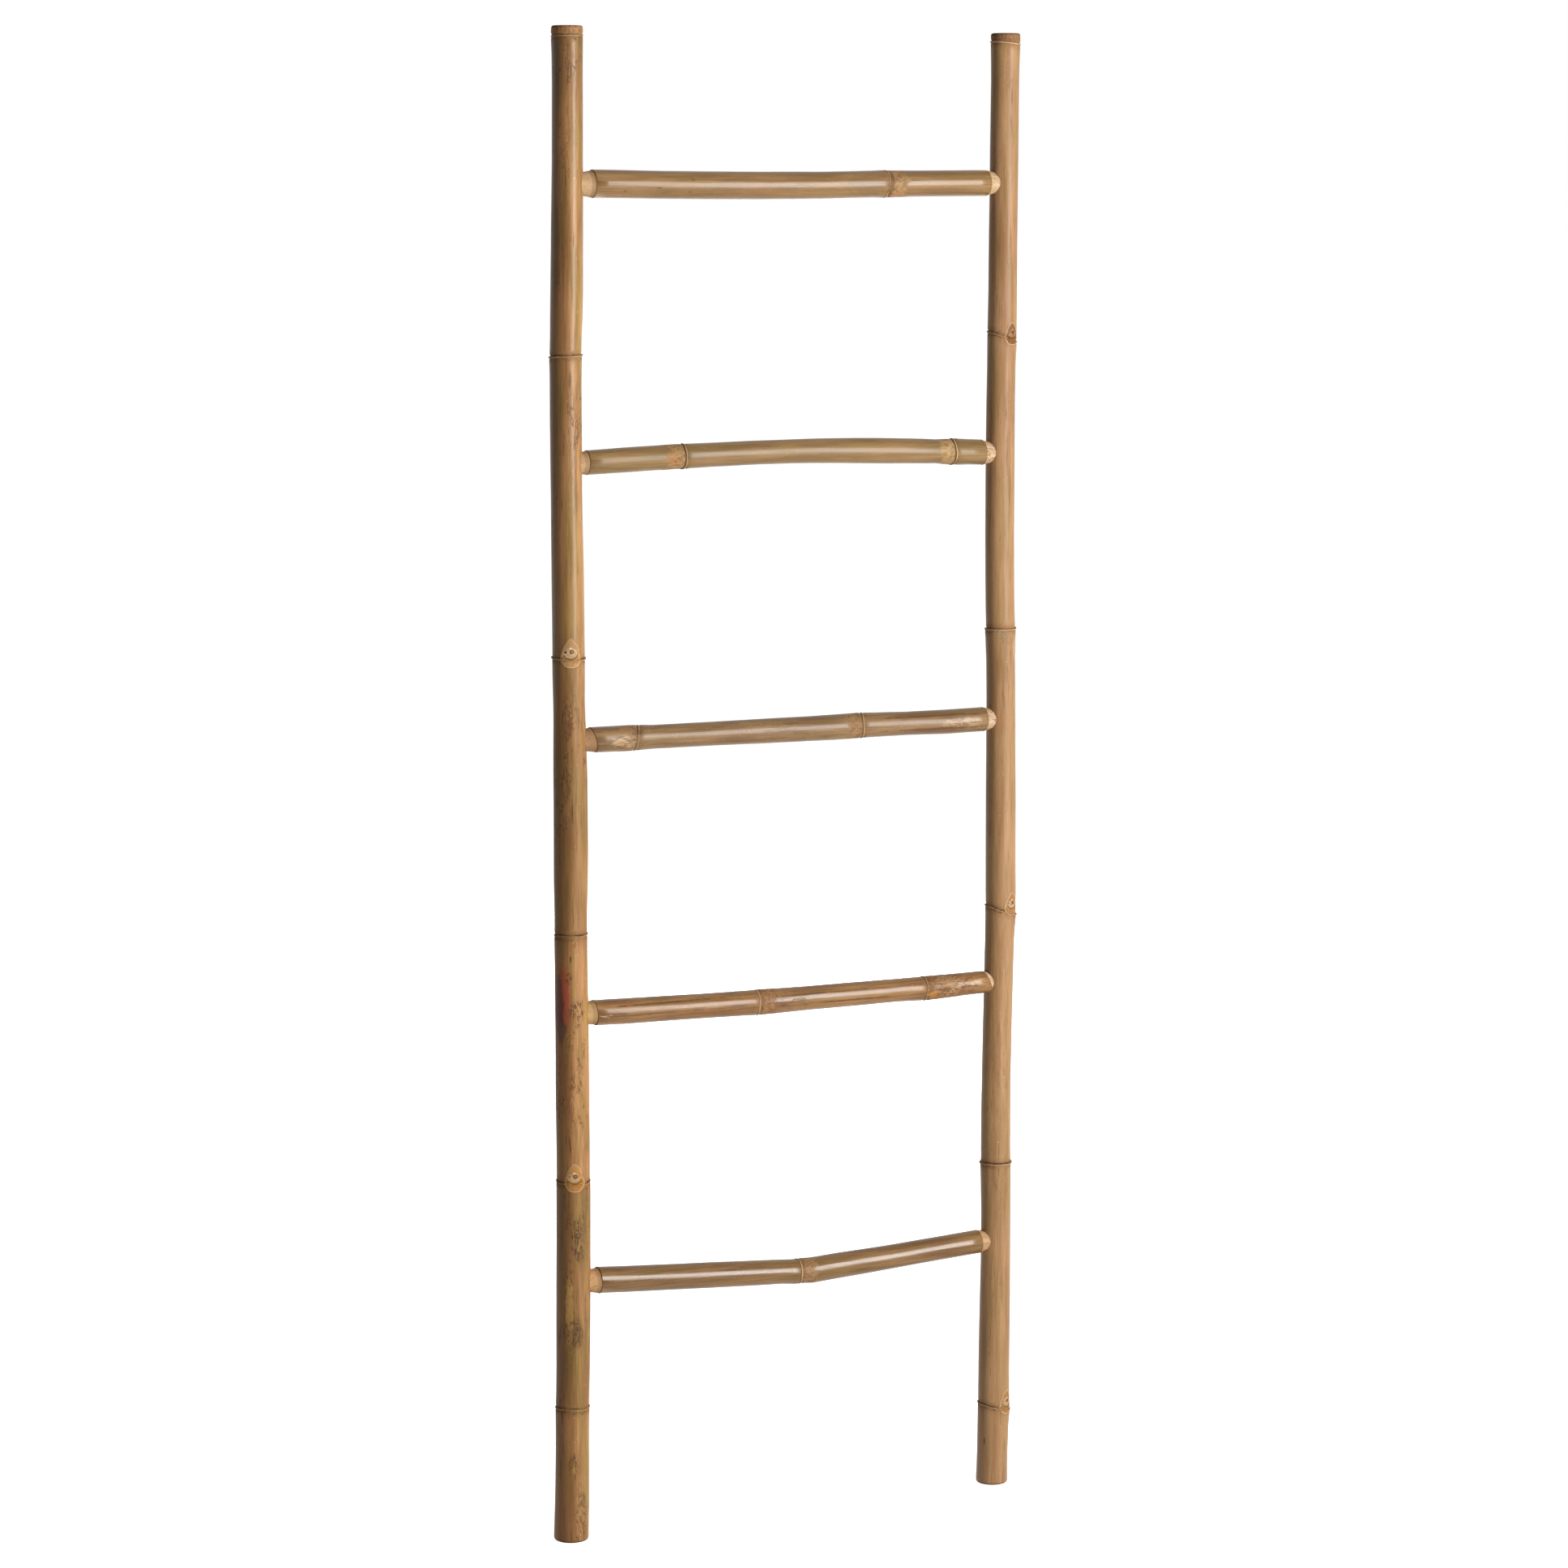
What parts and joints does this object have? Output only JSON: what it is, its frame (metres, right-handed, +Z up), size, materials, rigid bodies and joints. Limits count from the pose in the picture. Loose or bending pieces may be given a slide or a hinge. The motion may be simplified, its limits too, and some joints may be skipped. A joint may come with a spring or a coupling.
{
  "type": "towel ladder",
  "caption": "Leaning bamboo towel ladder: upright culms joined by whittled bamboo rungs to hang towels and clothes over.",
  "frame": {"origin": "on the floor plane, at the middle of the bounding box's bottom face, between the two rail feet", "axes": "+Z up along the rails, +X along the rungs from the left rail to the right rail, front towards -Y"},
  "size_m": [0.6513, 0.0463, 1.9],
  "materials": {
    "bamboo_brown": "varnished bamboo skin, browner, with dark mottles and a soft gloss",
    "bamboo_tan": "varnished bamboo skin, lighter tan, with a soft gloss",
    "bamboo_olive": "varnished bamboo skin, olive tan, with bare pale fibre on the whittled ends",
    "steel": "plain wire nail"
  },
  "bodies": {
    "root": {"left_rail": "bamboo_brown", "right_rail": "bamboo_tan", "rung_1": "bamboo_olive", "rung_2": "bamboo_olive", "rung_3": "bamboo_olive", "rung_4": "bamboo_olive", "rung_5": "bamboo_olive", "joint_nails": "steel"}
  },
  "joints": []
}
